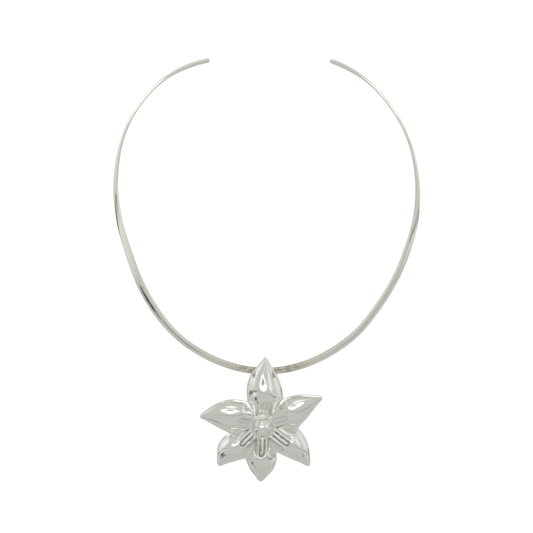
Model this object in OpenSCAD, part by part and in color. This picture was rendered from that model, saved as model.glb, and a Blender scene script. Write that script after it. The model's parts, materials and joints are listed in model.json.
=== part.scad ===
// Silver collar torc: a forged open neck ring that carries a puffed six-petal flower.
// Units are millimetres. The ring stands in the XZ plane with its gap at the top,
// the flower hangs from its lowest point, and the front faces -Y.
// The origin is the middle of the neck opening.

/* [Neck ring] */
// Scale of the neck opening, 1 is a ring 132 wide
ring_scale = 1; // [0.95:0.01:1.05]
// Rise of the domed outer face of the strip
face_dome = 0.25; // [0.05:0.05:0.35]
// Bevel along the four edges of the strip
strip_bevel = 0.2; // [0.1:0.05:0.25]

/* [Flower] */
// Thickness of the raised sheet
wall = 0.85; // [0.7:0.05:1]
// Height of the top petal's crest over the rim
crest_h = 8; // [7.4:0.1:8.6]
// Height of the floor round the bead over the rim
hub_h = 3; // [2.6:0.1:3.6]
// Width of the narrow border outside the puffed part
border_w = 0.7; // [0.5:0.1:1.2]
// Depth of the chased flutes
flute_depth = 0.5; // [0.2:0.05:0.6]
// Number of flutes on a petal
flute_count = 4; // [3:1:5]

/* [Bead] */
// Radius of the bead
bead_r = 4.1; // [3.5:0.1:4.5]
// Radius of the wire collar round the bead
collar_wire_r = 0.38; // [0.25:0.01:0.45]

/* [Bail] */
// Width of the strap loop
bail_w = 2.4; // [2:0.1:2.8]
// Thickness of the strap loop
bail_t = 0.8; // [0.7:0.1:1]

/* [Hanging] */
// Tilt of the flower as it hangs at rest, its lower edge back
hang_tilt = 11.9; // [9:0.1:14]

/* [Hidden] */

// Columns of RING_ROWS: angle from straight down (+ to the right), radius of the
// strip's middle, strip width, strip thickness, lean of the wide face to the front
ANGLE = 0;
RADIUS = 1;
STRIP_W = 2;
STRIP_T = 3;
LEAN = 4;
RING_ROWS = [
    [-158.5, 67.3, 2.4, 1.2, -32],
    [-150, 69.0, 2.5, 1.2, -27],
    [-140, 70.2, 2.5, 1.2, -8],
    [-127, 69.8, 2.7, 1.25, 0],
    [-115, 68.5, 2.9, 1.3, 11],
    [-100, 66.1, 3.2, 1.35, 25],
    [-85, 64.0, 3.4, 1.4, 36],
    [-70, 63.0, 3.7, 1.5, 43],
    [-50, 65.3, 4.0, 1.5, 48],
    [-30, 68.8, 3.6, 1.5, 42],
    [0, 71.3, 3.6, 1.5, 40],
    [30, 67.9, 3.6, 1.5, 44],
    [50, 64.3, 3.7, 1.5, 45],
    [70, 63.3, 3.6, 1.5, 43],
    [85, 64.3, 3.4, 1.4, 36],
    [100, 65.7, 3.1, 1.35, 23],
    [115, 67.2, 2.8, 1.3, 10],
    [127, 68.0, 2.6, 1.25, 0],
    [140, 68.8, 2.5, 1.2, -8],
    [150, 68.5, 2.45, 1.2, -24],
    [156.5, 68.0, 2.4, 1.2, -28]
];
ring_steps = 84;
// Rounded ends: distance in from the tip and width left there, both as shares of
// the half width, and the share of the thickness left at the tip
END_ROWS = [[0.02, 0.35], [0.14, 0.58], [0.36, 0.8], [0.65, 0.95], [1, 1]];
end_thin = 0.75;
// Largest bevel, as a share of the half width
bevel_share = 0.4;
// Half of the angle over which the strip's direction is measured
slope_step = 0.5;

// Columns of PETALS, anticlockwise from the upper right: direction of the tip,
// length from the bead, bulge of the clockwise side, bulge of the anticlockwise
// side, hollowing of the outline near the tip, place of the crest along the petal
// as a share of its length, lean of the crest line to the anticlockwise side, depth
// of its flutes as a share of the full depth, height of its crest as a share of
// the top petal's
TIP_DIR = 0;
TIP_LEN = 1;
BULGE_CW = 2;
BULGE_CCW = 3;
TIP_HOLLOW = 4;
CREST = 5;
RIDGE_LEAN = 6;
FLUTED = 7;
PUFF = 8;
PETALS = [
    [25.8, 28.4, 0.4, 1.5, 0, 0.51, -0.18, 0.3, 0.6],
    [87.8, 30.1, 1.6, 3.2, 0.9, 0.51, -0.03, 0.3, 1],
    [171.4, 27.2, 3.5, 0.4, 0, 0.5, 0.06, 0.3, 0.63],
    [223.4, 26.1, 2.9, 0.1, 0, 0.58, -0.1, 1, 0.78],
    [268.1, 25.1, 0.9, 2.4, 0.3, 0.64, 0.08, 1, 0.62],
    [318.1, 27.1, 0.3, 2.1, 0, 0.61, 0.04, 1, 0.83]
];
top_petal = 1;
// Columns of NOTCHES, each between a petal and the next: direction, distance
NOTCH_DIR = 0;
NOTCH_LEN = 1;
NOTCHES = [
    [52.8, 14.8],
    [121.9, 12.2],
    [193.4, 14.8],
    [243.2, 16.6],
    [296.6, 13.4],
    [355.6, 15.3]
];
petal_n = len(PETALS);
// Rows from hub to tip, with the level floor's edge at floor_row and the notches at
// notch_row. They are even but for the last, which shapes the blunt tip.
even_rows = 18;
row_n = even_rows + 1;
last_row_s = 0.993;
floor_row = 1;
notch_row = 9;
floor_s = floor_row / even_rows;
notch_s = notch_row / even_rows;
// Columns across a petal
top_cols = 30;
under_cols = 10;
// How far the rows' middles stand out towards the tip
row_bow = 1.2;
// Outlines: skew of their bulge towards the notch, and how late the hollow begins
bulge_skew = 0.9;
hollow_power = 6;
// Widening that makes a tip blunt, and how closely it keeps to the tip
tip_round = 0.5;
tip_round_power = 8;
// Roundness of a petal across: 0 is flat with steep sides, 1 is an even curve
round_at_hub = 0.49;
round_at_notch = 0.47;
side_power = 5;
// From the crest a petal bends down to a nearly straight fall to the tip: the length
// over which it bends
bend_len = 4.5;
// Shares along a petal between which the border and the step at its inner edge
// widen, the step's height, and the least share of the width that stays puffed
border_from = 0.15;
border_to = 0.45;
foot_from = 0.3;
foot_to = 0.5;
foot_step = 0.3;
least_puff = 0.25;
// Pitch of the flutes, how far they reach as a share of the way to the crest, lengths
// over which they fade in and out, and how much shorter the outer ones are. The inner
// two meet in a round turn before they fade out.
flute_pitch = 1.88;
flute_reach = 0.86;
flute_fade_in = 1.2;
flute_fade_out = 1;
flute_shorten = 0.2;
// Underside: least share of the width that is hollow, extra thickness at the ridge,
// and how closely its columns keep to the hollow
least_hollow = 0.12;
ridge_wall = wall * 1.05;
hollow_cols_power = 8;
// Keeps a share of a width finite at the tip
tiny = 0.01;

// The bead's middle over the floor, the collar round it, and the floor's edge
bead_over_hub = 1.2;
collar_gap = 0.35;
collar_r = bead_r + collar_gap;
collar_sink = collar_wire_r * 2 / 3;
hub_inset = 0.4;
hub_r = bead_r - hub_inset;
floor_margin = 0.12;
floor_r = collar_r + collar_wire_r + floor_margin;

// The strip's middle and section where the flower hangs
hang_x = -1.9;
hang_angle = -1;
hang_half_w = strip_value(hang_angle, STRIP_W) / 2;
hang_half_t = strip_value(hang_angle, STRIP_T) / 2;
hang_lean = strip_value(hang_angle, LEAN);
hang_ring_z = -ring_scale * strip_value(hang_angle, RADIUS) * cos(hang_angle);
// The pivot is the middle of the strip's upper bevel, on which the loop rides
pivot_p = hang_half_w - strip_bevel / 2;
pivot_q = hang_half_t - strip_bevel / 2;
pivot_y = pivot_q * sin(hang_lean) - pivot_p * cos(hang_lean);
pivot_z = hang_ring_z + pivot_p * sin(hang_lean) + pivot_q * cos(hang_lean);

// Flower frame: x to the right, y up the flower, z towards the front, with the
// pivot at its origin
rim_z = 1.65;
hub_y = -25;
loop_clear = 0.3;
loop_in_w = 6;
loop_in_h = 4.6;
loop_corner_r = 1.6;
loop_corner_steps = 3;
loop_bevel = 0.2;
// Plate across the hollow of the top petal: shares along it where it starts and
// ends, its share of the puffed width, and its depth inside the rim
plate_t = bail_t + 0.1;
plate_start = 0.7;
plate_end = 0.93;
plate_steps = 9;
plate_width = 0.98;
plate_sink = 0.13;
plate_corner_r = 0.15;

function lerp(a, b, t) = a + (b - a) * t;

function clamp(x, low, high) = min(high, max(low, x));

function ease(x) = let (t = clamp(x, 0, 1)) t * t * (3 - 2 * t);

function dir(angle) = [cos(angle), sin(angle)];

// Smooth curve through a column of a table whose first column rises
function row_below(rows, x, i = 0) =
    i >= len(rows) - 2 || x < rows[i + 1][0] ? i : row_below(rows, x, i + 1);

function slope_at(rows, i, column) =
    let (a = rows[max(i - 1, 0)], b = rows[min(i + 1, len(rows) - 1)])
    (b[column] - a[column]) / (b[0] - a[0]);

function smooth_value(rows, x, column) =
    let (
        i = row_below(rows, x),
        span = rows[i + 1][0] - rows[i][0],
        t = (x - rows[i][0]) / span,
        start = rows[i][column],
        end = rows[i + 1][column],
        m0 = slope_at(rows, i, column) * span,
        m1 = slope_at(rows, i + 1, column) * span
    )
    start * (2 * t * t * t - 3 * t * t + 1) + m0 * (t * t * t - 2 * t * t + t)
    + end * (3 * t * t - 2 * t * t * t) + m1 * (t * t * t - t * t);

// Neck ring

function strip_value(angle, column) = smooth_value(RING_ROWS, angle, column);

function ring_point(angle) =
    ring_scale * strip_value(angle, RADIUS) * [sin(angle), -cos(angle)];

function ring_outward(angle) =
    let (step = ring_point(angle + slope_step) - ring_point(angle - slope_step))
    [step[1], -step[0]] / norm(step);

first_angle = RING_ROWS[0][ANGLE];
last_angle = RING_ROWS[len(RING_ROWS) - 1][ANGLE];

// Angle that the strip's half width takes up at its end
function end_span(angle) = strip_value(angle, STRIP_W) / 2 / strip_value(angle, RADIUS) * 180 / PI;

// Stations along the strip, each an angle and the share of the width left there
function ring_stations() =
    let (
        a = first_angle + end_span(first_angle),
        b = last_angle - end_span(last_angle),
        last_end = len(END_ROWS) - 1
    )
    concat(
        [for (e = END_ROWS) [lerp(first_angle, a, e[0]), e[1]]],
        [for (i = [1 : ring_steps - 1]) [lerp(a, b, i / ring_steps), 1]],
        [for (i = [last_end : -1 : 0]) [lerp(last_angle, b, END_ROWS[i][0]), END_ROWS[i][1]]]
    );

// Section of the strip: domed outer face, flat inner face, bevelled edges
function strip_section(half_w, half_t) =
    let (
        edge = half_t - face_dome,
        c = min(strip_bevel, half_w * bevel_share)
    )
    concat(
        [[-half_w, c - half_t], [-half_w, edge - c]],
        [for (p = [-1 : 0.5 : 1]) let (x = p * (half_w - c)) [x, half_t - face_dome * p * p]],
        [[half_w, edge - c], [half_w, c - half_t]],
        [[half_w - c, -half_t], [0, -half_t], [c - half_w, -half_t]]
    );

function station_points(station) =
    let (
        angle = station[0],
        middle = ring_point(angle),
        out = ring_outward(angle),
        lean = strip_value(angle, LEAN),
        half_w = strip_value(angle, STRIP_W) / 2 * station[1],
        half_t = strip_value(angle, STRIP_T) / 2 * lerp(end_thin, 1, station[1])
    )
    [
        for (s = strip_section(half_w, half_t))
        let (outward = s[1] * cos(lean) - s[0] * sin(lean))
        [
            middle[0] + out[0] * outward,
            -s[1] * sin(lean) - s[0] * cos(lean),
            middle[1] + out[1] * outward
        ]
    ];

module neck_ring() {
    stations = ring_stations();
    side_n = len(strip_section(1, 1));
    last = len(stations) - 1;
    points = [for (station = stations) each station_points(station)];
    sides = [
        for (j = [0 : last - 1], i = [0 : side_n - 1])
        let (k = (i + 1) % side_n)
        [j * side_n + i, j * side_n + k, (j + 1) * side_n + k, (j + 1) * side_n + i]
    ];
    first_cap = [for (i = [side_n - 1 : -1 : 0]) i];
    last_cap = [for (i = [0 : side_n - 1]) last * side_n + i];
    color([0.78, 0.77, 0.73])
        polyhedron(points, concat(sides, [first_cap, last_cap]), convexity = 6);
}

// Flower

function petal_tip(p) = PETALS[p][TIP_LEN] * dir(PETALS[p][TIP_DIR]);

function notch_point(n) = NOTCHES[n][NOTCH_LEN] * dir(NOTCHES[n][NOTCH_DIR]);

function notch_before(p) = (p + petal_n - 1) % petal_n;

// Bulge of an outline between notch and tip, from 0 through 1 to 0
function bulge_at(t, hollow) =
    sin(180 * pow(t, bulge_skew)) * (1 - hollow * pow(t, hollow_power));

// Widening of an outline near its tip, 1 at the most
function blunt_at(t) =
    let (widest = 2 * tip_round_power / (2 * tip_round_power + 1))
    sqrt((1 - t) / (1 - widest)) * pow(t / widest, tip_round_power);

function valley_radius(n, s) =
    s <= floor_s
    ? lerp(hub_r, floor_r, s / floor_s)
    : lerp(floor_r, NOTCHES[n][NOTCH_LEN], (s - floor_s) / (notch_s - floor_s));

// Point at share s from hub to tip, on the valley and then on the outline
function petal_side(p, n, s, bulge) =
    s <= notch_s
    ? valley_radius(n, s) * dir(NOTCHES[n][NOTCH_DIR])
    : let (
        t = (s - notch_s) / (1 - notch_s),
        start = notch_point(n),
        end = petal_tip(p),
        along = (end - start) / norm(end - start),
        out = bulge * bulge_at(t, PETALS[p][TIP_HOLLOW]) + sign(bulge) * tip_round * blunt_at(t)
    )
    lerp(start, end, t) + out * [along[1], -along[0]];

function petal_chord(p, s) = [
    petal_side(p, notch_before(p), s, PETALS[p][BULGE_CW]),
    petal_side(p, p, s, -PETALS[p][BULGE_CCW])
];

// Point at share s from hub to tip and at u across, 0 to 1. The rows are arcs round
// the bead and flatten towards the notches.
function petal_at(p, s, u) =
    let (
        ends = petal_chord(p, s),
        a = NOTCHES[notch_before(p)][NOTCH_DIR],
        b = NOTCHES[p][NOTCH_DIR],
        direction = lerp(a, b < a ? b + 360 : b, u),
        radius = lerp(norm(ends[0]), norm(ends[1]), u),
        flat = clamp((s - floor_s) / (notch_s - floor_s), 0, 1),
        bow = 4 * u * (1 - u) * row_bow * pow(sin(180 * s), 2) * dir(PETALS[p][TIP_DIR])
    )
    lerp(radius * dir(direction), lerp(ends[0], ends[1], u) + bow, flat);

// Drop of a line that bends over bend_len towards an even slope of 1
function bend_drop(x) = norm([x, bend_len]) - bend_len;

// Height of a petal's middle line at distance m from the hub, over the rim
function rib_height(p, m) =
    let (
        length = PETALS[p][TIP_LEN],
        crest = PETALS[p][CREST] * length,
        to_crest = clamp((crest - m) / (crest - floor_r), 0, 1),
        high = PETALS[p][PUFF] * crest_h,
        fall = bend_drop(m - crest) / bend_drop(length - crest)
    )
    m < crest ? lerp(high, hub_h, pow(to_crest, 2)) : lerp(wall, high, clamp(1 - fall, 0, 1));

// Height along the valley between two petals, falling to the rim at the notch
function valley_height(s) =
    lerp(hub_h, wall, clamp((s - floor_s) / (notch_s - floor_s), 0, 1));

// Share of the width inside the border, at a half width
function puff_share(s, half) =
    let (border = border_w * ease((s - border_from) / (border_to - border_from)))
    max(least_puff, 1 - border / max(half, tiny));

// Share of the crest's height at t across the petal, from 1 at the ridge to 0
function crown(p, s, t, share) =
    let (
        ridge = PETALS[p][RIDGE_LEAN] * ease(s / notch_s),
        across = (t / share - ridge) / (1 - sign(t / share - ridge) * ridge),
        x = clamp(abs(across), 0, 1),
        roundness = lerp(round_at_hub, round_at_notch, clamp(s / notch_s, 0, 1))
    )
    1 - roundness * pow(x, 2) - (1 - roundness) * pow(x, side_power);

// Rounded grooves from the bead towards the crest, shorter towards the sides, at side
// distance x from the petal's middle line
function flute(p, m, x) =
    let (
        end = flute_reach * PETALS[p][CREST] * PETALS[p][TIP_LEN],
        across = x / flute_pitch / (flute_count / 2),
        reach = end * (1 - flute_shorten * pow(across, 2)),
        turn = max(0, m - (end - flute_fade_out - flute_pitch / 2)),
        phase = norm([x, turn]) / flute_pitch + flute_count / 2
    )
    abs(across) >= 1
    ? 0
    : PETALS[p][FLUTED] * flute_depth * ease((m - floor_r) / flute_fade_in)
        * ease((reach - m) / flute_fade_out) * (1 - cos(360 * phase)) / 2;

function top_point(p, s, t) =
    let (
        ends = petal_chord(p, s),
        half = norm(ends[1] - ends[0]) / 2,
        m = norm(petal_at(p, s, 0.5)),
        share = puff_share(s, half),
        low = valley_height(s),
        step_here = foot_step * ease((s - foot_from) / (foot_to - foot_from)),
        foot = step_here * clamp((1 - abs(t)) / max(1 - share, tiny), 0, 1),
        at = petal_at(p, s, (t + 1) / 2)
    )
    [
        at[0],
        at[1],
        low + foot + (rib_height(p, m) - low) * crown(p, s, t, share)
            - flute(p, m, t * half)
    ];

// Underside: the same puff, smaller by the wall, over a flat rim
function under_point(p, s, t) =
    let (
        ends = petal_chord(p, s),
        half = norm(ends[1] - ends[0]) / 2,
        m = norm(petal_at(p, s, 0.5)),
        inner = max(least_hollow, puff_share(s, half) - wall / max(half, tiny)),
        across = t * lerp(inner, 1, pow(abs(t), hollow_cols_power)),
        low = max(0, valley_height(s) - wall),
        high = max(low, rib_height(p, m) - ridge_wall),
        at = petal_at(p, s, (across + 1) / 2)
    )
    [at[0], at[1], low + (high - low) * crown(p, s, across, inner)];

// A skin is a grid for each petal. Its first column up to the notch is shared with
// the petal before, and its tip is one point.
function row_share(j) = j < even_rows ? j / even_rows : last_row_s;

function skin_size(cols) = petal_n * (row_n * (cols + 1) + 1) + 1;

function skin_index(p, j, i, cols) =
    j >= row_n
    ? petal_n * row_n * (cols + 1) + p
    : i == cols && j <= notch_row
        ? skin_index((p + 1) % petal_n, j, 0, cols)
        : (p * row_n + j) * (cols + 1) + i;

function skin_hub(cols) = skin_size(cols) - 1;

function skin_faces(cols, base, flip) = [
    for (
        p = [0 : petal_n - 1],
        j = [0 : row_n - 1],
        i = [0 : cols - 1]
    )
    let (
        a = base + skin_index(p, j, i, cols),
        b = base + skin_index(p, j, i + 1, cols),
        c = base + skin_index(p, j + 1, i + 1, cols),
        d = base + skin_index(p, j + 1, i, cols),
        face = c == d ? [a, b, c] : [a, b, c, d]
    )
    for (f = len(face) == 3 ? [face] : [[face[0], face[1], face[2]], [face[0], face[2], face[3]]])
    flip ? [f[2], f[1], f[0]] : f
];

function hub_faces(cols, base, flip) = [
    for (p = [0 : petal_n - 1], i = [0 : cols - 1])
    let (
        a = base + skin_index(p, 0, i, cols),
        b = base + skin_index(p, 0, i + 1, cols),
        c = base + skin_hub(cols)
    )
    flip ? [a, b, c] : [c, b, a]
];

function side_faces(base) = [
    for (p = [0 : petal_n - 1], j = [notch_row : row_n - 1], side = [0, 1])
    let (
        a = skin_index(p, j, side * top_cols, top_cols),
        b = skin_index(p, j + 1, side * top_cols, top_cols),
        c = base + skin_index(p, j + 1, side * under_cols, under_cols),
        d = base + skin_index(p, j, side * under_cols, under_cols)
    )
    for (f = [[a, b, c], [a, c, d]])
    side == 1 ? [f[2], f[1], f[0]] : f
];

module petals() {
    top_points = concat(
        [
            for (p = [0 : petal_n - 1], j = [0 : row_n - 1], i = [0 : top_cols])
            top_point(p, row_share(j), 2 * i / top_cols - 1)
        ],
        [for (p = [0 : petal_n - 1]) concat(petal_tip(p), wall)],
        [[0, 0, hub_h]]
    );
    under_points = concat(
        [
            for (p = [0 : petal_n - 1], j = [0 : row_n - 1], i = [0 : under_cols])
            under_point(p, row_share(j), 2 * i / under_cols - 1)
        ],
        [for (p = [0 : petal_n - 1]) concat(petal_tip(p), 0)],
        [[0, 0, hub_h - wall]]
    );
    base = len(top_points);
    polyhedron(
        concat(top_points, under_points),
        concat(
            skin_faces(top_cols, 0, false),
            hub_faces(top_cols, 0, false),
            skin_faces(under_cols, base, true),
            hub_faces(under_cols, base, true),
            side_faces(base)
        ),
        convexity = 8
    );
}

module bead() {
    translate([0, 0, hub_h])
        rotate_extrude($fn = 32)
            intersection() {
                translate([0, bead_over_hub])
                    circle(r = bead_r, $fn = 28);
                translate([0, -wall / 2])
                    square([bead_r, 2 * bead_r]);
            }
    translate([0, 0, hub_h])
        rotate_extrude($fn = 32)
            translate([collar_r, collar_wire_r - collar_sink])
                circle(r = collar_wire_r, $fn = 8);
}

// Strap loop round the ring's strip: a rounded rectangle seen from the side, whose
// front lies in the middle of the plate. Its 2D points are depth and height.
module bail_loop() {
    half = [(loop_in_w + bail_t) / 2, (loop_in_h + bail_t) / 2];
    middle = [
        rim_z + plate_sink + plate_t / 2 - half[0],
        loop_clear + bail_t / 2 - half[1]
    ];
    edge = bail_w / 2;
    skin = bail_t / 2;
    section = [
        [-edge, loop_bevel - skin], [-edge, skin - loop_bevel],
        [loop_bevel - edge, skin], [edge - loop_bevel, skin],
        [edge, skin - loop_bevel], [edge, loop_bevel - skin],
        [edge - loop_bevel, -skin], [loop_bevel - edge, -skin]
    ];
    points = [
        for (
            side = [[1, 1, 0], [-1, 1, 90], [-1, -1, 180], [1, -1, 270]],
            step = [0 : loop_corner_steps],
            p = section
        )
        let (
            outward = dir(side[2] + 90 * step / loop_corner_steps),
            corner = half - [loop_corner_r, loop_corner_r],
            at = middle + [side[0] * corner[0], side[1] * corner[1]]
                + (loop_corner_r + p[1]) * outward
        )
        [p[0], at[1], at[0]]
    ];
    side_n = len(section);
    point_n = len(points);
    faces = [
        for (j = [0 : side_n : point_n - side_n], i = [0 : side_n - 1])
        let (
            k = (i + 1) % side_n,
            next = (j + side_n) % point_n
        )
        each [[j + k, j + i, next + i], [j + k, next + i, next + k]]
    ];
    polyhedron(points, faces, convexity = 4);
}

// Plain plate across the hollow back of the top petal, which carries the loop
module bail_plate() {
    rows = [for (k = [0 : plate_steps]) lerp(plate_start, plate_end, k / plate_steps)];
    corners = [
        for (s = rows)
        let (
            ends = petal_chord(top_petal, s),
            half = norm(ends[1] - ends[0]) / 2,
            share = plate_width * puff_share(s, half) - plate_corner_r / half
        )
        [for (t = [-share, share]) lerp(ends[0], ends[1], (t + 1) / 2)]
    ];
    translate([0, 0, plate_sink])
        linear_extrude(plate_t)
            for (k = [1 : plate_steps])
                hull()
                    for (at = concat(corners[k - 1], corners[k]))
                        translate(at)
                            circle(r = plate_corner_r, $fn = 8);
}

module flower_pendant() {
    color([0.86, 0.86, 0.84])
        translate([hang_x, pivot_y, pivot_z])
            rotate([90 + hang_tilt, 0, 0])
                union() {
                    translate([0, hub_y, rim_z]) {
                        petals();
                        bead();
                        bail_plate();
                    }
                    bail_loop();
                }
}

neck_ring();
flower_pendant();
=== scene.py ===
# Looks of a silver collar torc with a flower pendant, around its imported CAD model.
# The shapes repeat the CAD model's sections, outlines and heights with finer steps.
# Tables and sizes are in millimetres, and the meshes are made in metres.
import json
import math

import bpy
import numpy as np
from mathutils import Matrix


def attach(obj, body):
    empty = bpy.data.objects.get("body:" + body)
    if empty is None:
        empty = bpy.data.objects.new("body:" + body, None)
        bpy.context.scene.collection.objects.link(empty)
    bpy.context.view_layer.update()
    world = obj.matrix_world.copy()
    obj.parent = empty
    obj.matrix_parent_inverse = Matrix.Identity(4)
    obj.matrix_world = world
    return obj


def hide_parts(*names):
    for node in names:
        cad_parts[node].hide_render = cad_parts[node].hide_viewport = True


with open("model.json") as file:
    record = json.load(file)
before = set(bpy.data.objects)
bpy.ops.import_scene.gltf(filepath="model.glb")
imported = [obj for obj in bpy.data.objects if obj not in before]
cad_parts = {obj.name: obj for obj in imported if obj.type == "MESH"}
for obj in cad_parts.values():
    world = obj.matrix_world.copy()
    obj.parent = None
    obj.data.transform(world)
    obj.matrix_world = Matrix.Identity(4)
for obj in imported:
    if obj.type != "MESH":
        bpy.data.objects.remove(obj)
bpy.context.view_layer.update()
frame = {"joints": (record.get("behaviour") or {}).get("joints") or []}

MM = 0.001

# Columns of RING_ROWS: angle from straight down (+ to the right), radius of the
# strip's middle, strip width, strip thickness, lean of the wide face to the front
ANGLE, RADIUS, STRIP_W, STRIP_T, LEAN = range(5)
RING_ROWS = np.array([
    [-158.5, 67.3, 2.4, 1.2, -32],
    [-150, 69.0, 2.5, 1.2, -27],
    [-140, 70.2, 2.5, 1.2, -8],
    [-127, 69.8, 2.7, 1.25, 0],
    [-115, 68.5, 2.9, 1.3, 11],
    [-100, 66.1, 3.2, 1.35, 25],
    [-85, 64.0, 3.4, 1.4, 36],
    [-70, 63.0, 3.7, 1.5, 43],
    [-50, 65.3, 4.0, 1.5, 48],
    [-30, 68.8, 3.6, 1.5, 42],
    [0, 71.3, 3.6, 1.5, 40],
    [30, 67.9, 3.6, 1.5, 44],
    [50, 64.3, 3.7, 1.5, 45],
    [70, 63.3, 3.6, 1.5, 43],
    [85, 64.3, 3.4, 1.4, 36],
    [100, 65.7, 3.1, 1.35, 23],
    [115, 67.2, 2.8, 1.3, 10],
    [127, 68.0, 2.6, 1.25, 0],
    [140, 68.8, 2.5, 1.2, -8],
    [150, 68.5, 2.45, 1.2, -24],
    [156.5, 68.0, 2.4, 1.2, -28],
])
# Stations along the strip between its rounded ends, and steps in each end
RING_STATIONS = 900
TIP_STEPS = 16
# How blunt the rounded ends are, and the share of the thickness left at their tips
TIP_BLUNT = 0.42
END_THIN = 0.75
# Half of the angle over which the strip's direction is measured
SLOPE_STEP = 0.5
# Rise of the domed outer face, bevel along the four edges, the largest bevel as a
# share of the half width, and steps round a bevel and across the domed face
FACE_DOME = 0.25
STRIP_BEVEL = 0.2
BEVEL_SHARE = 0.4
BEVEL_STEPS = 5
FACE_STEPS = 16
STRIP_SHARP_DEG = 40
# Slight unevenness left by the planishing hammer, on the outer face and then on the
# edges: height, waves along and across in radians per millimetre, and seed
HAMMER_FACE = 0.012, 0.8, 0.9, 11
HAMMER_EDGE = 0.015, 0.35, 0.2, 12
# Radius at which the angle along the ring is turned to a length for it
HAMMER_RADIUS = 66

# Columns of PETALS, anticlockwise from the upper right: direction of the tip, length
# from the bead, bulge of the clockwise side, bulge of the anticlockwise side, hollowing
# of the outline near the tip, place of the crest as a share of the length, lean of the
# crest line to the anticlockwise side, depth of the flutes as a share of the full
# depth, height of the crest as a share of the top petal's
TIP_DIR, TIP_LEN, BULGE_CW, BULGE_CCW, TIP_HOLLOW, CREST, RIDGE_LEAN, FLUTED, PUFF = range(9)
PETALS = [
    [25.8, 28.4, 0.4, 1.5, 0, 0.51, -0.18, 0.3, 0.6],
    [87.8, 30.1, 1.6, 3.2, 0.9, 0.51, -0.03, 0.3, 1],
    [171.4, 27.2, 3.5, 0.4, 0, 0.5, 0.06, 0.3, 0.63],
    [223.4, 26.1, 2.9, 0.1, 0, 0.58, -0.1, 1, 0.78],
    [268.1, 25.1, 0.9, 2.4, 0.3, 0.64, 0.08, 1, 0.62],
    [318.1, 27.1, 0.3, 2.1, 0, 0.61, 0.04, 1, 0.83],
]
TOP_PETAL = 1
# Columns of NOTCHES, each between a petal and the next: direction, distance
NOTCH_DIR, NOTCH_LEN = range(2)
NOTCHES = [[52.8, 14.8], [121.9, 12.2], [193.4, 14.8], [243.2, 16.6], [296.6, 13.4], [355.6, 15.3]]
# Shares of the way from hub to tip at the edge of the level floor and at the notches
FLOOR_S = 1 / 18
NOTCH_S = 0.5
# Outlines: skew of their bulge towards the notch, and how late the hollow begins
BULGE_SKEW = 0.9
HOLLOW_POWER = 6
# Widening that makes a tip blunt, and how closely it keeps to the tip
TIP_ROUND, TIP_ROUND_POWER = 0.5, 8
# Thickness of the sheet, and height of the top petal's crest and of the hub over the rim
WALL = 0.85
CREST_H = 8.0
HUB_H = 3.0
# Roundness of a petal across: 0 is flat with steep sides, 1 is an even curve
ROUND_AT_HUB, ROUND_AT_NOTCH, SIDE_POWER = 0.49, 0.47, 5
# Length over which a petal bends from its crest to the fall to the tip
BEND_LEN = 4.5
# How far the rows' middles stand out towards the tip
ROW_BOW = 1.2
# Width of the border outside the puffed part, height of the step at its inner edge,
# the shares along a petal between which they grow, and the least share of the width
# that stays puffed
BORDER_W = 0.7
BORDER_FROM, BORDER_TO = 0.15, 0.45
FOOT_FROM, FOOT_TO, FOOT_STEP = 0.3, 0.5, 0.3
LEAST_PUFF = 0.25
# Rounding of the rim's upper edge
EDGE_ROUND = 0.16
# Flutes: depth, number on a petal, pitch, how far they reach as a share of the way to
# the crest, lengths over which they fade in and out, how much shorter the outer ones
# are, and how much of the painted shade and dirt those get beside the inner two
FLUTE_DEPTH = 0.5
FLUTE_COUNT = 4
FLUTE_PITCH = 1.88
FLUTE_REACH = 0.86
FLUTE_FADE_IN, FLUTE_FADE_OUT = 1.2, 1.0
FLUTE_SHORTEN = 0.2
OUTER_FLUTE_SHADE_AND_DIRT = 0.75
# Slight unevenness of the raised sheet: height, waves in radians per millimetre and
# the first petal's seed. It starts past the floor's edge, rises over a length, and
# fades out over the last part of the way to either side, the share 1 / UNEVEN_SIDES.
UNEVEN_H, UNEVEN_WAVES, UNEVEN_SEED = 0.02, 0.9, 21
UNEVEN_START, UNEVEN_RISE, UNEVEN_SIDES = 0.5, 3, 3
# Underside: least share of the width that is hollow, thickness at the ridge, and how
# closely its columns keep to the hollow
LEAST_HOLLOW = 0.12
RIDGE_WALL = WALL * 1.05
HOLLOW_COLS_POWER = 8
# Keeps a share of a width finite at the tip
TINY = 0.01
# Points along and across a petal's front and back, how much the front's columns crowd
# to the sides, steps down the rim and points round the caps
TOP_ROWS, TOP_COLS = 120, 97
UNDER_ROWS, UNDER_COLS = 61, 41
CROWD_POWER = 1.5
RIM_STEPS = 3
CAP_POINTS = 96
SHEET_SHARP_DEG = 38

# The bead's middle over the floor, the wire collar round it, which is sunk by two
# thirds of the wire's radius, and the floor's inner and outer edge
BEAD_R = 4.1
BEAD_OVER_HUB = 1.2
COLLAR_WIRE_R = 0.38
COLLAR_GAP = 0.35
COLLAR_R = BEAD_R + COLLAR_GAP
COLLAR_Z = HUB_H + COLLAR_WIRE_R / 3
HUB_INSET = 0.4
HUB_R = BEAD_R - HUB_INSET
FLOOR_MARGIN = 0.12
FLOOR_R = COLLAR_R + COLLAR_WIRE_R + FLOOR_MARGIN
# The bead's last points stay just beside its pole
BEAD_POLE_DEG = 89.9
BEAD_STEPS = 60
WIRE_STEPS = 24
LATHE_STEPS = 128

# Strap loop: width and thickness, the space inside it and over the pivot, the rounding
# of its turns and edges
BAIL_W, BAIL_T = 2.4, 0.8
LOOP_IN_W, LOOP_IN_H = 6, 4.6
LOOP_CLEAR = 0.3
LOOP_CORNER_R = 1.6
LOOP_BEVEL = 0.2
LOOP_TURN_STEPS = 12
LOOP_BEVEL_STEPS = 4
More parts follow.
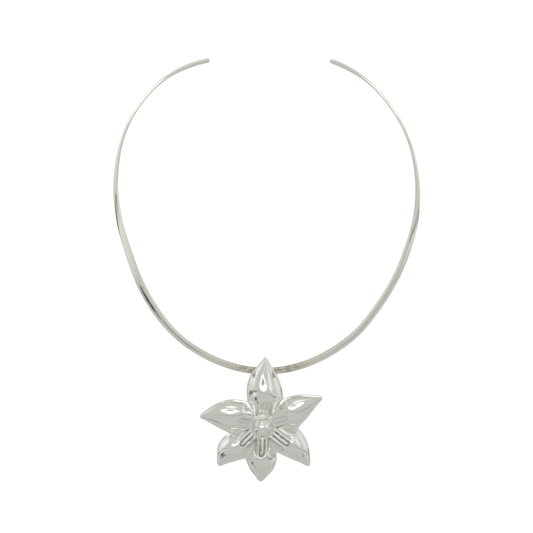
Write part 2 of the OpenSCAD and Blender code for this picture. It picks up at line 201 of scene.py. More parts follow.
# Plate across the hollow of the top petal: thickness, shares along the petal where it
# starts and ends, its share of the puffed width, and its depth inside the rim
PLATE_T = BAIL_T + 0.1
PLATE_START, PLATE_END = 0.7, 0.93
PLATE_WIDTH = 0.98
PLATE_SINK = 0.13
PLATE_STEPS = 40

# Where the flower hangs: its tilt at rest, the pivot, and the place of the bead and of
# the rim in the flower's frame, which has x to the right, y up the flower and z to the
# front, with the pivot as its origin
HANG_TILT = 11.9
PIVOT = np.array(frame["joints"][0]["pos_m"]) / MM
HUB_Y = -25
RIM_Z = 1.65

# Corners of a section in order: side across, side outward, angle where the corner
# starts. The strip's domed face follows the second.
CORNERS = ((-1, -1, 270), (-1, 1, 180), (1, 1, 90), (1, -1, 0))
CORNER_BEFORE_DOME = CORNERS[1]


def lerp(a, b, t):
    return a + (b - a) * t


def ease(x):
    t = np.clip(x, 0, 1)
    return t * t * (3 - 2 * t)


def direction(angle):
    return np.stack([np.cos(np.radians(angle)), np.sin(np.radians(angle))], axis=-1)


def whole_turn(steps):
    """Angles in degrees, evenly round a circle."""
    return np.linspace(0, 360, steps, endpoint=False)


def smooth_value(rows, x, column):
    """Smooth curve through a column of a table whose first column rises."""
    at, value = rows[:, 0], rows[:, column]
    last = len(rows) - 1
    each = np.arange(len(rows))
    before, after = np.maximum(each - 1, 0), np.minimum(each + 1, last)
    slopes = (value[after] - value[before]) / (at[after] - at[before])
    i = np.clip(np.searchsorted(at, x, side="right") - 1, 0, last - 1)
    span = at[i + 1] - at[i]
    t = (x - at[i]) / span
    return (
        value[i] * (2 * t**3 - 3 * t**2 + 1)
        + slopes[i] * span * (t**3 - 2 * t**2 + t)
        + value[i + 1] * (3 * t**2 - 2 * t**3)
        + slopes[i + 1] * span * (t**3 - t**2)
    )


def ripple(a, b, seed, waves=7):
    """A small smooth unevenness over two coordinates, about 1 in height."""
    draw = np.random.default_rng(seed)
    total = 0
    for _ in range(waves):
        fa, fb = draw.normal(0, 1, 2)
        total = total + np.sin(a * fa + b * fb + draw.uniform(0, 2 * math.pi))
    return total / math.sqrt(waves)


def mesh_object(name, points, faces, material, sharp_deg=35):
    """A smooth mesh from points in millimetres."""
    mesh = bpy.data.meshes.new(name)
    mesh.from_pydata((np.asarray(points) * MM).tolist(), [], faces)
    mesh.validate()
    mesh.shade_smooth()
    mesh.set_sharp_from_angle(angle=math.radians(sharp_deg))
    mesh.materials.append(material)
    made = bpy.data.objects.new(name, mesh)
    bpy.context.scene.collection.objects.link(made)
    return made


def grid_faces(rows, cols, flip=False, round_rows=False, round_cols=False, pointed=False):
    """Faces of rows of cols points. Rows and columns can each close to a loop, and in a
    pointed grid all points of the last row are in one place."""
    faces = []
    for j in range(rows if round_rows else rows - 1):
        a, b = j * cols, (j + 1) % rows * cols
        for i in range(cols if round_cols else cols - 1):
            k = (i + 1) % cols
            face = (a + i, a + k, b + k, b + i)
            if pointed and j == rows - 2:
                face = face[:3]
            faces.append(face[::-1] if flip else face)
    return faces


def rounded_corner(corner, half_w, half_t, radius, steps):
    """Points round one of a section's corners: across, outward."""
    side_p, side_q, start = corner
    points = []
    for k in range(steps + 1):
        turn = math.radians(start - 90 * k / steps)
        points.append((
            side_p * (half_w - radius) + radius * math.cos(turn),
            side_q * (half_t - radius) + radius * math.sin(turn),
        ))
    return points


# Neck ring


def ring_point(angle):
    radius = smooth_value(RING_ROWS, angle, RADIUS)
    outward = np.stack([np.sin(np.radians(angle)), -np.cos(np.radians(angle))], axis=-1)
    return radius[:, None] * outward


def ring_outward(angle):
    step = ring_point(angle + SLOPE_STEP) - ring_point(angle - SLOPE_STEP)
    return np.stack([step[:, 1], -step[:, 0]], axis=-1) / np.linalg.norm(step, axis=1)[:, None]


def end_span(row):
    """Angle that a rounded end takes up, as long as half the strip's width."""
    return math.degrees(row[STRIP_W] / 2 / row[RADIUS])


def ring_stations():
    """Angles along the strip, and the share of its width left at each."""
    first, last = RING_ROWS[0, ANGLE], RING_ROWS[-1, ANGLE]
    inward = np.linspace(0, 1, TIP_STEPS + 1)[1:] ** 2
    left = (1 - (1 - inward) ** 2) ** TIP_BLUNT
    a, b = first + end_span(RING_ROWS[0]), last - end_span(RING_ROWS[-1])
    between = np.linspace(a, b, RING_STATIONS)[1:-1]
    angles = np.concatenate([lerp(first, a, inward), between, lerp(last, b, inward)[::-1]])
    shares = np.concatenate([left, np.ones(len(between)), left[::-1]])
    return angles, shares


def strip_section(half_w, half_t):
    """Points round the strip's section for arrays of half sizes: across, outward."""
    bevel = np.minimum(STRIP_BEVEL, half_w * BEVEL_SHARE)
    points = []
    for corner in CORNERS:
        _, side_q, _ = corner
        edge = half_t - FACE_DOME if side_q > 0 else half_t
        points += rounded_corner(corner, half_w, edge, bevel, BEVEL_STEPS)
        if corner == CORNER_BEFORE_DOME:
            for p in np.linspace(-1, 1, FACE_STEPS + 1)[1:-1]:
                points.append((p * (half_w - bevel), half_t - FACE_DOME * p * p))
    return np.stack([np.stack(point, axis=-1) for point in points], axis=1)


def hammered(marks, along, across):
    """Height of the hammer's marks at lengths along and across the strip."""
    height, waves_along, waves_across, seed = marks
    return height * ripple(along * waves_along, across * waves_across, seed)


def make_neck_ring(material):
    angle, share = ring_stations()
    middle, out = ring_point(angle), ring_outward(angle)
    lean = np.radians(smooth_value(RING_ROWS, angle, LEAN))[:, None]
    half_w = smooth_value(RING_ROWS, angle, STRIP_W) / 2 * share
    half_t = smooth_value(RING_ROWS, angle, STRIP_T) / 2 * lerp(END_THIN, 1, share)
    section = strip_section(half_w, half_t)
    p, q = section[..., 0], section[..., 1]
    along = np.radians(angle)[:, None] * HAMMER_RADIUS
    q = q + hammered(HAMMER_FACE, along, p) * (q > 0)
    p = p + hammered(HAMMER_EDGE, along, q)
    outward = q * np.cos(lean) - p * np.sin(lean)
    points = np.stack([
        middle[:, :1] + out[:, :1] * outward,
        -q * np.sin(lean) - p * np.cos(lean),
        middle[:, 1:] + out[:, 1:] * outward,
    ], axis=-1)
    rows, cols = points.shape[:2]
    faces = grid_faces(rows, cols, round_cols=True)
    faces.append(tuple(range(cols))[::-1])
    faces.append(tuple(range((rows - 1) * cols, rows * cols)))
    made = mesh_object("collar_strip", points.reshape(-1, 3), faces, material, STRIP_SHARP_DEG)
    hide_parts("neck_ring")
    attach(made, "ring")


# Flower


def notch_before(p):
    return (p - 1) % len(PETALS)


def petal_tip(p):
    return PETALS[p][TIP_LEN] * direction(PETALS[p][TIP_DIR])


def notch_point(n):
    return NOTCHES[n][NOTCH_LEN] * direction(NOTCHES[n][NOTCH_DIR])


def blunt_at(t):
    """Widening of an outline near its tip, 1 at the most."""
    widest = 2 * TIP_ROUND_POWER / (2 * TIP_ROUND_POWER + 1)
    return np.sqrt((1 - t) / (1 - widest)) * (t / widest) ** TIP_ROUND_POWER


def petal_side(p, n, s, bulge):
    """Points at shares s from hub to tip, on the valley and then on the outline."""
    valley = np.where(
        s <= FLOOR_S,
        lerp(HUB_R, FLOOR_R, s / FLOOR_S),
        lerp(FLOOR_R, NOTCHES[n][NOTCH_LEN], (s - FLOOR_S) / (NOTCH_S - FLOOR_S)),
    )[:, None] * direction(NOTCHES[n][NOTCH_DIR])
    t = np.clip((s - NOTCH_S) / (1 - NOTCH_S), 0, 1)
    start, end = notch_point(n), petal_tip(p)
    along = (end - start) / np.linalg.norm(end - start)
    swell = np.sin(np.pi * t**BULGE_SKEW) * (1 - PETALS[p][TIP_HOLLOW] * t**HOLLOW_POWER)
    out = bulge * swell + math.copysign(TIP_ROUND, bulge) * blunt_at(t)
    outline = lerp(start, end, t[:, None]) + out[:, None] * np.array([along[1], -along[0]])
    return np.where((s <= NOTCH_S)[:, None], valley, outline)


def petal_chord(p, s):
    """Points on both sides of a petal, the clockwise side first."""
    return (
        petal_side(p, notch_before(p), s, PETALS[p][BULGE_CW]),
        petal_side(p, p, s, -PETALS[p][BULGE_CCW]),
    )


def petal_at(p, s, u):
    """Points at shares s from hub to tip and u across, 0 to 1, both of one shape."""
    shape = s.shape
    s, u = s.ravel(), u.ravel()[:, None]
    a, b = petal_chord(p, s)
    from_dir = NOTCHES[notch_before(p)][NOTCH_DIR]
    to_dir = NOTCHES[p][NOTCH_DIR]
    to_dir += 360 if to_dir < from_dir else 0
    radius = lerp(np.linalg.norm(a, axis=1), np.linalg.norm(b, axis=1), u[:, 0])[:, None]
    arc = radius * direction(lerp(from_dir, to_dir, u[:, 0]))
    flat = np.clip((s - FLOOR_S) / (NOTCH_S - FLOOR_S), 0, 1)[:, None]
    bow = 4 * u * (1 - u) * ROW_BOW * np.sin(np.pi * s[:, None]) ** 2 * direction(PETALS[p][TIP_DIR])
    return lerp(arc, lerp(a, b, u) + bow, flat).reshape(*shape, 2)


def half_width(p, s):
    a, b = petal_chord(p, s.ravel())
    return (np.linalg.norm(b - a, axis=1) / 2).reshape(s.shape)


def middle_distance(p, s):
    """Distance of a petal's middle line from the bead's axis at shares s."""
    return np.linalg.norm(petal_at(p, s, np.full_like(s, 0.5)), axis=-1)


def rib_height(p, m):
    """Height of a petal's middle line at distance m from the bead's axis, over the rim."""
    length = PETALS[p][TIP_LEN]
    crest = PETALS[p][CREST] * length
    high = PETALS[p][PUFF] * CREST_H
    to_crest = np.clip((crest - m) / (crest - FLOOR_R), 0, 1)
    bend = (np.hypot(m - crest, BEND_LEN) - BEND_LEN) / (np.hypot(length - crest, BEND_LEN) - BEND_LEN)
    outer = np.clip(1 - bend, 0, 1)
    return np.where(m < crest, lerp(high, HUB_H, to_crest**2), lerp(WALL, high, outer))


def valley_height(s):
    return lerp(HUB_H, WALL, np.clip((s - FLOOR_S) / (NOTCH_S - FLOOR_S), 0, 1))


def puff_share(s, half):
    """Share of a petal's width that is puffed, inside its border."""
    border = BORDER_W * ease((s - BORDER_FROM) / (BORDER_TO - BORDER_FROM))
    return np.maximum(LEAST_PUFF, 1 - border / np.maximum(half, TINY))


def crown(p, s, t, share):
    """Share of the crest's height at t across the petal, from 1 at the ridge to 0."""
    ridge = PETALS[p][RIDGE_LEAN] * ease(s / NOTCH_S)
    x = t / share - ridge
    x = np.clip(np.abs(x / (1 - np.sign(x) * ridge)), 0, 1)
    roundness = lerp(ROUND_AT_HUB, ROUND_AT_NOTCH, np.clip(s / NOTCH_S, 0, 1))
    return 1 - roundness * x**2 - (1 - roundness) * x**SIDE_POWER


def flute(p, m, x):
    """Depth of the rounded grooves towards the crest. The inner two meet in a turn."""
    end = FLUTE_REACH * PETALS[p][CREST] * PETALS[p][TIP_LEN]
    across = x / FLUTE_PITCH / (FLUTE_COUNT / 2)
    reach = end * (1 - FLUTE_SHORTEN * across**2)
    turn = np.maximum(0, m - (end - FLUTE_FADE_OUT - FLUTE_PITCH / 2))
    phase = np.hypot(x, turn) / FLUTE_PITCH + FLUTE_COUNT / 2
    fade = ease((m - FLOOR_R) / FLUTE_FADE_IN) * ease((reach - m) / FLUTE_FADE_OUT)
    wave = PETALS[p][FLUTED] * (1 - np.cos(2 * np.pi * phase)) / 2
    return np.where(np.abs(across) >= 1, 0, fade * wave)


def top_surface(p, s, t):
    """Points of a petal's front, and how deep in a groove each is, from 0 to 1."""
    half = half_width(p, s)
    m = middle_distance(p, s)
    share = puff_share(s, half)
    low = valley_height(s)
    step_here = FOOT_STEP * ease((s - FOOT_FROM) / (FOOT_TO - FOOT_FROM))
    foot = step_here * np.clip((1 - np.abs(t)) / np.maximum(1 - share, TINY), 0, 1)
    groove = flute(p, m, t * half)
    from_edge = np.clip((1 - np.abs(t)) * half / EDGE_ROUND, 0, 1)
    edge = EDGE_ROUND * (1 - np.sqrt(1 - (1 - from_edge) ** 2)) * (s >= NOTCH_S)
    height = low + foot + (rib_height(p, m) - low) * crown(p, s, t, share)
    height = height - FLUTE_DEPTH * groove - edge
    at = petal_at(p, s, (t + 1) / 2)
    # There is no unevenness at the joints between petals
    free = np.clip((1 - np.abs(t)) * UNEVEN_SIDES, 0, 1)
    free = free * ease((m - FLOOR_R - UNEVEN_START) / UNEVEN_RISE)
    waves = ripple(at[..., 0] * UNEVEN_WAVES, at[..., 1] * UNEVEN_WAVES, UNEVEN_SEED + p)
    height = height + UNEVEN_H * free * waves
    return np.concatenate([at, height[..., None]], axis=-1), groove


def under_surface(p, s, t):
    """Points of a petal's back: the same puff, smaller by the wall, over a flat rim."""
    half = half_width(p, s)
    inner = np.maximum(LEAST_HOLLOW, puff_share(s, half) - WALL / np.maximum(half, TINY))
    across = t * lerp(inner, 1, np.abs(t) ** HOLLOW_COLS_POWER)
    low = np.maximum(0, valley_height(s) - WALL)
    high = np.maximum(low, rib_height(p, middle_distance(p, s)) - RIDGE_WALL)
    at = petal_at(p, s, (across + 1) / 2)
    height = low + (high - low) * crown(p, s, across, inner)
    return np.concatenate([at, height[..., None]], axis=-1)


def place_flower(points):
    """Takes points from the flower's own frame, from its hub, to the torc's frame."""
    points = np.asarray(points, float) + [0, HUB_Y, RIM_Z]
    turn = math.radians(90 + HANG_TILT)
    x, y, z = points[..., 0], points[..., 1], points[..., 2]
    turned = [x, y * math.cos(turn) - z * math.sin(turn), y * math.sin(turn) + z * math.cos(turn)]
    return np.stack(turned, axis=-1) + PIVOT


def on_pendant(made):
    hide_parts("flower_pendant")
    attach(made, "pendant")


class Sheet:
    """The petals' raised sheet, gathered part by part."""

    def __init__(self):
        self.points, self.faces, self.grooves, self.hollows = [], [], [], []

    def add(self, points, faces, groove=0.0, hollow=0.0):
        """Adds a part. Its groove is one value or one for each point."""
        first = sum(len(part) for part in self.points)
        points = points.reshape(-1, 3)
        self.points.append(points)
        self.faces += [tuple(first + i for i in face) for face in faces]
        self.grooves.append(np.broadcast_to(np.ravel(groove), len(points)))
        self.hollows.append(np.full(len(points), hollow))

    def make(self, name, material):
        points = place_flower(np.concatenate(self.points))
        made = mesh_object(name, points, self.faces, material, SHEET_SHARP_DEG)
        for key, parts in (("groove", self.grooves), ("hollow", self.hollows)):
            layer = made.data.attributes.new(key, "FLOAT", "POINT")
            layer.data.foreach_set("value", np.concatenate(parts).astype(np.float32))
        return made


def add_petal(sheet, p):
    """A petal's front, its back, and the rim between their edges in steps."""
    u = np.linspace(-1, 1, TOP_COLS)
    crowded = np.sign(u) * (1 - (1 - np.abs(u)) ** CROWD_POWER)
    s, t = np.meshgrid(np.linspace(0, 1, TOP_ROWS), crowded, indexing="ij")
    front, groove = top_surface(p, s, t)
    # The outer grooves get less painted shade and dirt than the inner two
    outer = np.abs(t) * half_width(p, s) > FLUTE_PITCH
    shade_and_dirt = groove * np.where(outer, OUTER_FLUTE_SHADE_AND_DIRT, 1)
    sheet.add(front, grid_faces(TOP_ROWS, TOP_COLS, pointed=True), shade_and_dirt)

    s, t = np.meshgrid(np.linspace(0, 1, UNDER_ROWS), np.linspace(-1, 1, UNDER_COLS), indexing="ij")
    back_faces = grid_faces(UNDER_ROWS, UNDER_COLS, flip=True, pointed=True)
    sheet.add(under_surface(p, s, t), back_faces, hollow=1.0)

    s = np.linspace(NOTCH_S, 1, TOP_ROWS // 2)
    for side in (-1, 1):
        t = np.full_like(s, side)
        top, _ = top_surface(p, s, t)
        bottom = under_surface(p, s, t)
        rim = np.stack([lerp(top, bottom, k / RIM_STEPS) for k in range(RIM_STEPS + 1)], axis=1)
        sheet.add(rim, grid_faces(len(s), RIM_STEPS + 1, flip=side < 0))


def add_cap(sheet, height, front):
    """A disc under the bead, in front or behind."""
    circle = HUB_R * direction(whole_turn(CAP_POINTS))
    level = np.full((CAP_POINTS, 1), height)
    points = np.concatenate([np.concatenate([circle, level], axis=1), [[0, 0, height]]])
    fan = [(i, (i + 1) % CAP_POINTS, CAP_POINTS) for i in range(CAP_POINTS)]
    sheet.add(points, fan if front else [f[::-1] for f in fan], hollow=0.0 if front else 1.0)


def make_petals(material):
    sheet = Sheet()
    for p in range(len(PETALS)):
        add_petal(sheet, p)
    add_cap(sheet, HUB_H, front=True)
    add_cap(sheet, HUB_H - WALL, front=False)
    on_pendant(sheet.make("flower_petals", material))


def lathe(name, profile, material, closed=False):
    """A body of revolution about the bead's axis, from points of radius and height."""
    turn = direction(whole_turn(LATHE_STEPS))
    points = np.stack([
        profile[None, :, 0] * turn[:, :1],
        profile[None, :, 0] * turn[:, 1:],
        np.broadcast_to(profile[None, :, 1], (LATHE_STEPS, len(profile))),
    ], axis=-1)
    faces = grid_faces(LATHE_STEPS, len(profile), flip=True, round_rows=True, round_cols=closed)
    on_pendant(mesh_object(name, place_flower(points.reshape(-1, 3)), faces, material))


def make_bead(material):
    lowest = math.degrees(math.asin((-WALL / 2 - BEAD_OVER_HUB) / BEAD_R))
    arc = BEAD_R * direction(np.linspace(lowest, BEAD_POLE_DEG, BEAD_STEPS))
    lathe("bead", arc + [0, HUB_H + BEAD_OVER_HUB], material)


def make_collar(material):
    wire = COLLAR_WIRE_R * direction(whole_turn(WIRE_STEPS))
    lathe("bead_collar", wire + [COLLAR_R, COLLAR_Z], material, closed=True)


def make_bail(material):
    """Strap loop round the strip, a rounded rectangle seen from the side."""
    half = np.array([(LOOP_IN_W + BAIL_T) / 2, (LOOP_IN_H + BAIL_T) / 2])
    middle = np.array([RIM_Z + PLATE_SINK + PLATE_T / 2 - half[0], LOOP_CLEAR + BAIL_T / 2 - half[1]])
    section = []
    for corner in CORNERS:
        section += rounded_corner(corner, BAIL_W / 2, BAIL_T / 2, LOOP_BEVEL, LOOP_BEVEL_STEPS)
    points = []
    for side_x, side_y, start in ((1, 1, 0), (-1, 1, 90), (-1, -1, 180), (1, -1, 270)):
        corner = middle + np.array([side_x, side_y]) * (half - LOOP_CORNER_R)
        for k in range(LOOP_TURN_STEPS + 1):
            outward = direction(start + 90 * k / LOOP_TURN_STEPS)
            for x, q in section:
                depth, height = corner + (LOOP_CORNER_R + q) * outward
                points.append((x, height - HUB_Y, depth - RIM_Z))
    rows = len(points) // len(section)
    faces = grid_faces(rows, len(section), flip=True, round_rows=True, round_cols=True)
    on_pendant(mesh_object("bail_loop", place_flower(points), faces, material))


def make_plate(material):
    """Plain plate across the hollow back of the top petal."""
    s = np.linspace(PLATE_START, PLATE_END, PLATE_STEPS)
    a, b = petal_chord(TOP_PETAL, s)
    share = PLATE_WIDTH * puff_share(s, np.linalg.norm(b - a, axis=1) / 2)
    outline = [lerp(a, b, ((1 - share) / 2)[:, None]), lerp(a, b, ((1 + share) / 2)[:, None])[::-1]]
    outline = np.concatenate(outline)
    n = len(outline)
    low = np.concatenate([outline, np.full((n, 1), PLATE_SINK)], axis=1)
    high = low + [0, 0, PLATE_T]
    faces = [tuple(range(n)), tuple(range(2 * n - 1, n - 1, -1))]
    faces += [((i + 1) % n, i, n + i, n + (i + 1) % n) for i in range(n)]
    points = place_flower(np.concatenate([low, high]))
    on_pendant(mesh_object("bail_plate", points, faces, material))


# Materials

# Patterns in the silver: scale per metre, detail and roughness of the noise
CLOUD = 160, 3, 0.6
SMEAR = 520, 4, 0.6
FINE_SCRATCH = 9000, 2, 0.5
CROSS_SCRATCH = 7000, 2, 0.5
# Turn in degrees and stretch of the last three's coordinates
SMEAR_WAY = (20, 35, 10), (1, 0.35, 1)
FINE_WAY = (15, 50, 30), (1, 0.04, 1)
CROSS_WAY = (70, -20, 60), (0.05, 1, 1)
# Ranges of the patterns, two values each and, where four are given, what those become:
# the scratches that show, the tarnish in the clouds, and the smears in the roughness
FINE_SEEN = 0.62, 0.75
CROSS_SEEN = 0.66, 0.78
CLOUD_TARNISH = 0.42, 0.75, 0, 0.35
SMEAR_SEEN = 0.35, 0.75
# Roughness that smears and scratches add
SMEAR_ROUGH = 0.06
SCRATCH_ROUGH = 0.08
# Relief of scratches and smears, its strength, and its height in metres
SCRATCH_RELIEF, SMEAR_RELIEF = -0.5, 0.6
BUMP_STRENGTH, BUMP_DISTANCE = 0.12, 0.00002
# Colour, tarnish and roughness of the strip and of the flower
RING_COLOUR, RING_TARNISH, RING_ROUGH = (0.935, 0.92, 0.865, 1), (0.86, 0.84, 0.77, 1), 0.10
FLOWER_COLOUR, FLOWER_TARNISH, FLOWER_ROUGH = (0.955, 0.952, 0.938, 1), (0.90, 0.885, 0.84, 1), 0.07
# The strip beside the bail carries a painted reflection of the flower: distances in
# metres over which it goes from 1 to 0, how the smears break it up, and its tone
REFLECTION_REACH = 0.009, 0.021, 1, 0
REFLECTION_SMEAR = 0.38, 0.62, 0.12, 0.75
PAINTED_REFLECTION_TONE = (0.40, 0.37, 0.28, 1)
# Grooves: painted shade on slopes, dirt in beds, how smears break both up, tone
PAINTED_SLOPE_SHADE = 0.12, 0.3, 0, 0.22
BED_DIRT = 0.62, 1.0, 0, 0.72
SHADE_AND_DIRT_SMEAR = 0.3, 0.6, 0.6, 1.0
SHADE_AND_DIRT_TONE = (0.14, 0.13, 0.11, 1)
# The hollow back: how the smears break up its tarnish, and its added roughness
HOLLOW_SMEAR = 0.3, 0.7, 0.1, 0.5
HOLLOW_ROUGH = 0.30
# Paper of the floor: noise, how pale its specks are, tone and roughness
PAPER_NOISE = 60, 4, 0.6
PAPER_SPECKS = 0.3, 0.7, 0.97, 1.0
PAPER_TONE = (0.80, 0.798, 0.77, 1)
PAPER_ROUGH = 0.9

# Sockets of the mix node when it mixes colours
MIX_FACTOR, MIX_A, MIX_B, MIX_RESULT = 0, 6, 7, 2


class Nodes:
    """Short calls for making and joining a material's or the world's nodes."""

    def __init__(self, owner):
        owner.use_nodes = True
        self.tree = owner.node_tree
        self.tree.nodes.clear()

    def add(self, kind, inputs=None, **settings):
        node = self.tree.nodes.new(kind)
        for key, value in settings.items():
            setattr(node, key, value)
        for key, value in (inputs or {}).items():
            self.put(node, key, value)
        return node

    def put(self, node, key, value):
        if isinstance(value, bpy.types.NodeSocket):
            self.tree.links.new(value, node.inputs[key])
        else:
            node.inputs[key].default_value = value

    def place(self):
        return self.add("ShaderNodeTexCoord").outputs["Object"]

    def attribute(self, name):
        return self.add("ShaderNodeAttribute", attribute_name=name).outputs["Fac"]

    def math(self, operation, a, b=0.0):
        return self.add("ShaderNodeMath", {0: a, 1: b}, operation=operation).outputs[0]

    def map_range(self, value, from_min, from_max, to_min=0.0, to_max=1.0, smooth=False):
        limits = {"From Min": from_min, "From Max": from_max, "To Min": to_min, "To Max": to_max}
        node = self.add("ShaderNodeMapRange", {"Value": value, **limits})
        node.interpolation_type = "SMOOTHSTEP" if smooth else "LINEAR"
        return node.outputs[0]

    def mix(self, factor, a, b, blend="MIX"):
        node = self.add("ShaderNodeMix", data_type="RGBA", blend_type=blend)
        self.put(node, MIX_FACTOR, factor)
        self.put(node, MIX_A, a)
        self.put(node, MIX_B, b)
        return node.outputs[MIX_RESULT]

    def noise(self, vector, scale, detail, roughness):
        node = self.add(
            "ShaderNodeTexNoise",
            {"Vector": vector, "Scale": scale, "Detail": detail, "Roughness": roughness},
        )
        return node.outputs["Fac"]

    def stretched(self, vector, angle_deg, stretch):
        """Coordinates turned and drawn out, for scratches in one direction."""
        node = self.add("ShaderNodeMapping", {"Vector": vector})
        node.inputs["Rotation"].default_value = [math.radians(a) for a in angle_deg]
        node.inputs["Scale"].default_value = stretch
        return node.outputs[0]


def painted_reflection_strip(n, smear, tone, roughness):
    """Painted reflection of the flower: darker grey-brown on the strip beside the bail."""
    aside = n.add("ShaderNodeSeparateXYZ", {0: n.place()}).outputs[0]
    near = n.map_range(n.math("ABSOLUTE", aside), *REFLECTION_REACH, smooth=True)
    reflected_patch = n.math("MULTIPLY", near, n.map_range(smear, *REFLECTION_SMEAR))
    return n.mix(reflected_patch, tone, PAINTED_REFLECTION_TONE), roughness


def chased_sheet(n, smear, tone, roughness):
    """Painted shade on the grooves' slopes, dirt in their beds, and at the back the tarnished matt skin
    left by the punches.
    """
    depth = n.attribute("groove")
    # The darkening on the slopes is painted shade, and in the beds it is dirt
    deep = n.math("ADD", n.map_range(depth, *PAINTED_SLOPE_SHADE), n.map_range(depth, *BED_DIRT))
    shade_and_dirt = n.math("MULTIPLY", deep, n.map_range(smear, *SHADE_AND_DIRT_SMEAR))
    tone = n.mix(shade_and_dirt, tone, SHADE_AND_DIRT_TONE)
    hollow = n.attribute("hollow")
    skin = n.math("MULTIPLY", hollow, n.map_range(smear, *HOLLOW_SMEAR))
    tone = n.mix(skin, tone, FLOWER_TARNISH)
    return tone, n.math("ADD", roughness, n.math("MULTIPLY", hollow, HOLLOW_ROUGH))


def silver(name, colour, tarnish, rough, wear_and_painted_light):
    """Polished silver with fine wiping scratches, smears, a little tarnish, and the
    changes of tone and roughness that the last function adds: real dirt and tarnish, painted shade and a
    painted reflection."""
    material = bpy.data.materials.new(name)
    n = Nodes(material)
    place = n.place()
    cloud = n.noise(place, *CLOUD)
    smear = n.noise(n.stretched(place, *SMEAR_WAY), *SMEAR)
    fine = n.noise(n.stretched(place, *FINE_WAY), *FINE_SCRATCH)
    cross = n.noise(n.stretched(place, *CROSS_WAY), *CROSS_SCRATCH)
    scratches = n.math("MAXIMUM", n.map_range(fine, *FINE_SEEN), n.map_range(cross, *CROSS_SEEN))
    tone = n.mix(n.map_range(cloud, *CLOUD_TARNISH), colour, tarnish)
    roughness = n.math(
        "ADD",
        n.map_range(smear, *SMEAR_SEEN, rough, rough + SMEAR_ROUGH),
        n.map_range(scratches, 0, 1, 0, SCRATCH_ROUGH),
    )
    tone, roughness = wear_and_painted_light(n, smear, tone, roughness)
    height = n.math(
        "ADD",
        n.map_range(scratches, 0, 1, 0, SCRATCH_RELIEF),
        n.map_range(smear, 0, 1, 0, SMEAR_RELIEF),
    )
    relief = {"Strength": BUMP_STRENGTH, "Distance": BUMP_DISTANCE, "Height": height}
    bump = n.add("ShaderNodeBump", relief).outputs[0]
    shader = n.add(
        "ShaderNodeBsdfPrincipled",
        {"Base Color": tone, "Metallic": 1.0, "Roughness": roughness, "Normal": bump},
    )
    n.add("ShaderNodeOutputMaterial", {"Surface": shader.outputs[0]})
    return material


def paper(name):
    """Matt paper with faint specks."""
    material = bpy.data.materials.new(name)
    n = Nodes(material)
    speck = n.map_range(n.noise(n.place(), *PAPER_NOISE), *PAPER_SPECKS)
    specks = n.add("ShaderNodeCombineColor", {0: speck, 1: speck, 2: speck}).outputs[0]
    tone = n.mix(1.0, PAPER_TONE, specks, "MULTIPLY")
    shader = n.add("ShaderNodeBsdfPrincipled", {"Base Color": tone, "Roughness": PAPER_ROUGH})
    n.add("ShaderNodeOutputMaterial", {"Surface": shader.outputs[0]})
    return material


# Studio, in metres

# The camera's distance in front of the ring's plane, the width that it sees there, its
# place, the nearest and farthest things that it sees, and its sensor in millimetres
CAMERA_DISTANCE = 1.0
VIEW_WIDTH = 0.22919
CAMERA_X, CAMERA_Z = -0.000215, -0.02623
CLIP_NEAR, CLIP_FAR = 0.01, 50
SENSOR = 36
# The pale floor is a disc far below the piece
FLOOR_Z = -0.50
FLOOR_DISC_R = 0.3
FLOOR_POINTS = 128

# Tones of the studio: its floor below and far off, its walls, the lamps in front and
# the darker middle of one, pale and dark parts of the room, and the plain background
# that the camera sees
FLOOR_TONE = (0.55, 0.55, 0.53, 1)
FAR_TONE = (0.43, 0.425, 0.40, 1)
WALL_TONE = (0.56, 0.555, 0.52, 1)
LAMP_TONE = (1.3, 1.3, 1.28, 1)
LAMP_MIDDLE_TONE = (0.36, 0.36, 0.35, 1)
PALE_TONE = (1.0, 1.0, 0.98, 1)
DARK_TONE = (0.03, 0.03, 0.026, 1)
BACKGROUND = (1.05, 1.05, 1.05, 1)
# Oval patches of the studio round the piece, each over those before it: its way in
# degrees from the front to the right and up from level, its half width and half
# height in degrees, how soft its edge is, its strength and its tone
LIGHTS = [
    (-125, 20, 34, 20, 0.8, 0.55, PALE_TONE),
    (140, 18, 30, 20, 0.8, 0.55, PALE_TONE),
    (-90, -13, 34, 7, 0.7, 0.5, PALE_TONE),
    (90, -13, 34, 7, 0.7, 0.5, PALE_TONE),
    (-104, 31, 15, 17, 0.5, 0.8, PALE_TONE),
    (54, 20, 19, 18, 0.5, 0.65, PALE_TONE),
    (95, 44, 14, 16, 0.5, 0.35, PALE_TONE),
    (-7, 54, 15, 11, 0.4, 0.6, LAMP_TONE),
    (-9, 18.5, 24, 17, 0.08, 1.0, LAMP_TONE),
    (-11, 25, 11, 6, 0.25, 1.0, LAMP_MIDDLE_TONE),
    (-124, -7, 20, 3, 0.4, 0.75, DARK_TONE),
    (-80, -4, 28, 2.2, 0.5, 0.65, DARK_TONE),
    (-83, -30, 11, 5.5, 0.3, 1.0, DARK_TONE),
    (-76, -50, 4.5, 16, 0.6, 0.8, DARK_TONE),
    (123, -5, 14, 2.5, 0.4, 0.75, DARK_TONE),
    (94, -10, 13, 3, 0.4, 0.55, DARK_TONE),
    (62, -14, 32, 2.2, 0.5, 0.75, DARK_TONE),
    (80, -46, 3.5, 24, 0.5, 0.45, DARK_TONE),
]
# The walls begin, with a soft edge, where a direction's z + LEVEL_SLOPE * x passes
# LEVEL. Over FAR_REACH below that the floor takes on its far tone.
LEVEL_SLOPE = 0.108
LEVEL = -0.146
LEVEL_SOFT = 0.02
FAR_REACH = 0.16


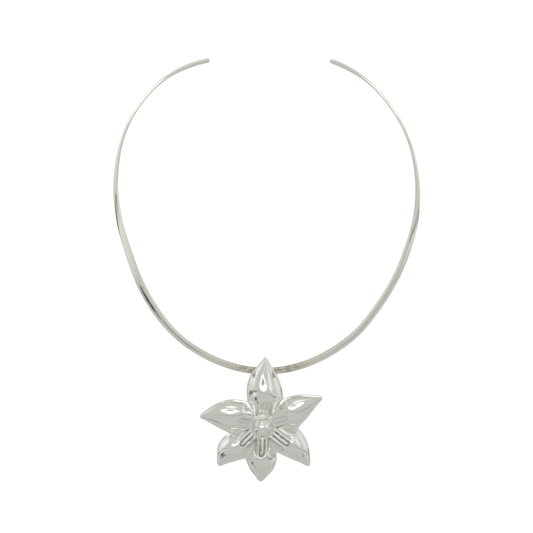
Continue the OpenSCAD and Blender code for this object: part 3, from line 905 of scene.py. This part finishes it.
def make_camera():
    data = bpy.data.cameras.new("camera")
    data.sensor_width = SENSOR
    data.lens = SENSOR * CAMERA_DISTANCE / VIEW_WIDTH
    data.clip_start, data.clip_end = CLIP_NEAR, CLIP_FAR
    camera = bpy.data.objects.new("camera", data)
    camera.location = (CAMERA_X, -CAMERA_DISTANCE, CAMERA_Z)
    camera.rotation_euler = (math.radians(90), 0, 0)
    bpy.context.scene.collection.objects.link(camera)
    bpy.context.scene.camera = camera


def make_floor():
    rim = FLOOR_DISC_R / MM * direction(whole_turn(FLOOR_POINTS))
    points = [(x, y, FLOOR_Z / MM) for x, y in rim]
    floor = mesh_object("floor", points, [tuple(range(FLOOR_POINTS))], paper("floor_paper"))


def make_world():
    """The studio round the piece: a grey floor, pale walls, and soft patches on them."""
    world = bpy.data.worlds.new("studio")
    bpy.context.scene.world = world
    n = Nodes(world)
    way = n.add("ShaderNodeTexCoord").outputs["Generated"]

    def along(axis):
        return n.add("ShaderNodeVectorMath", {0: way, 1: axis}, operation="DOT_PRODUCT").outputs["Value"]

    def patch(aside, above, half_w, half_h, soft):
        """1 inside an oval round a direction, falling to 0 at its edge."""
        a, e = math.radians(aside), math.radians(above)
        u = n.math("DIVIDE", along((math.cos(a), math.sin(a), 0)), math.sin(math.radians(half_w)))
        v = along((-math.sin(a) * math.sin(e), math.cos(a) * math.sin(e), math.cos(e)))
        v = n.math("DIVIDE", v, math.sin(math.radians(half_h)))
        out = n.math("SQRT", n.math("ADD", n.math("MULTIPLY", u, u), n.math("MULTIPLY", v, v)))
        inside = n.map_range(out, 1 - soft, 1 + soft, 1, 0, smooth=True)
        facing = along((math.sin(a) * math.cos(e), -math.cos(a) * math.cos(e), math.sin(e)))
        return n.math("MULTIPLY", inside, n.math("GREATER_THAN", facing, 0.0))

    over = along((LEVEL_SLOPE, 0, 1))
    tone = n.mix(n.map_range(over, LEVEL - FAR_REACH, LEVEL, smooth=True), FLOOR_TONE, FAR_TONE)
    tone = n.mix(n.map_range(over, LEVEL - LEVEL_SOFT, LEVEL + LEVEL_SOFT), tone, WALL_TONE)
    for *place, strength, light in LIGHTS:
        tone = n.mix(n.math("MULTIPLY", patch(*place), strength), tone, light)
    seen = n.add("ShaderNodeLightPath").outputs["Is Camera Ray"]
    tone = n.mix(seen, tone, BACKGROUND)
    shader = n.add("ShaderNodeBackground", {"Color": tone, "Strength": 1.0})
    n.add("ShaderNodeOutputWorld", {"Surface": shader.outputs[0]})


bpy.context.scene.view_settings.view_transform = "Standard"
make_camera()
make_world()
make_floor()
# The strip's material carries a painted reflection of the flower beside the bail
ring_silver = silver("ring_silver", RING_COLOUR, RING_TARNISH, RING_ROUGH, painted_reflection_strip)
# The flower's material carries painted shade on the grooves' slopes, with dirt in their beds
flower_silver = silver("flower_silver", FLOWER_COLOUR, FLOWER_TARNISH, FLOWER_ROUGH, chased_sheet)
make_neck_ring(ring_silver)
make_petals(flower_silver)
make_bead(flower_silver)
make_collar(flower_silver)
make_bail(flower_silver)
make_plate(flower_silver)
